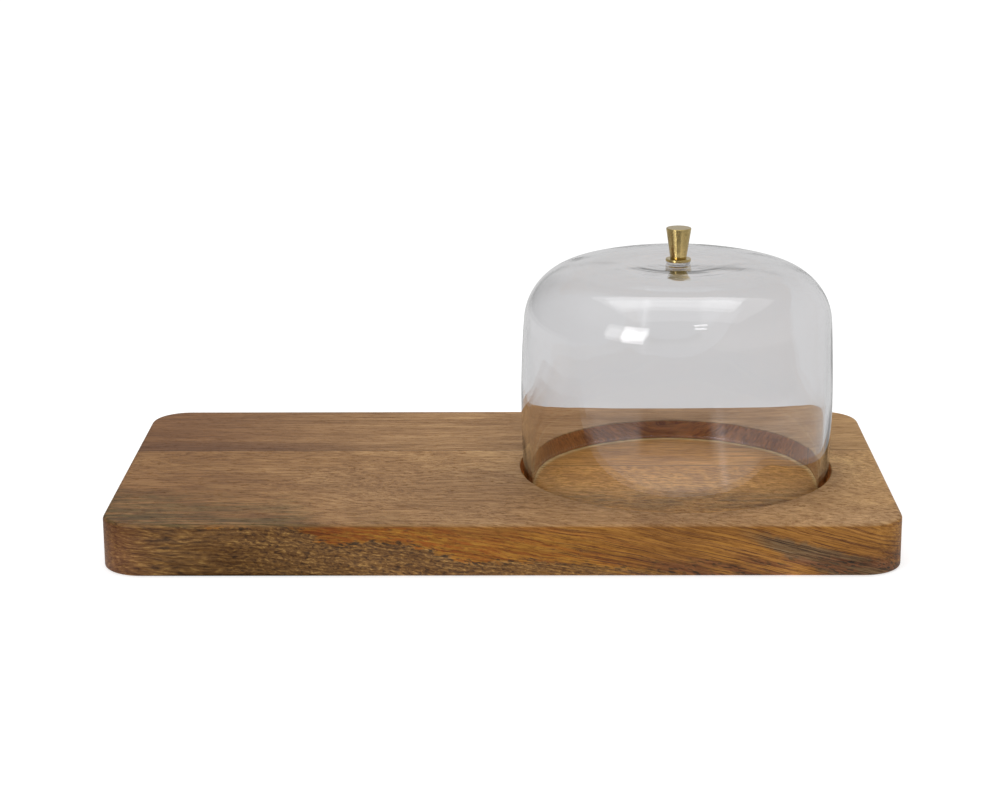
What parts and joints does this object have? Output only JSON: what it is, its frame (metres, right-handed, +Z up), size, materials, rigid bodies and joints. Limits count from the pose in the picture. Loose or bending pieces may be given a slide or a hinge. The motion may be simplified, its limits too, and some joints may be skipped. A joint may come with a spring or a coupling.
{
  "type": "cheese dome",
  "caption": "Long hardwood serving board with a round recess near one end, and a blown glass dome with a small flared brass knob that stands in the recess and lifts off.",
  "frame": {"origin": "centre of the board's underside, on the surface it stands on", "axes": "+X along the board towards the end with the recess and dome, +Y across the board to the back, +Z up"},
  "size_m": [0.45, 0.235, 0.1745],
  "materials": {
    "front_wood": "oiled mango wood, satin, golden and grey-brown figure",
    "rear_wood": "oiled mango wood, satin, darker red-brown",
    "clear_glass": "clear blown glass, polished, slightly rippled in the middle of the crown",
    "satin_brass": "turned brass, satin",
    "foot_brass": "turned brass, satin",
    "washer_brass": "pressed brass, satin",
    "screw_brass": "brass, bright",
    "clear_seal": "clear soft silicone, matt"
  },
  "bodies": {
    "board": {"front_plank": "front_wood", "rear_plank": "rear_wood"},
    "dome": {"glass_dome": "clear_glass", "knob": "satin_brass", "knob_foot": "foot_brass", "upper_seal": "clear_seal", "hole_bush": "clear_seal", "lower_seal": "clear_seal", "inner_washer": "washer_brass", "screw": "screw_brass"}
  },
  "joints": [
    {"name": "dome_lift", "type": "slide", "parent": "board", "child": "dome", "axis": [0, 0, 1], "range_m": [0, 0.16]}
  ]
}
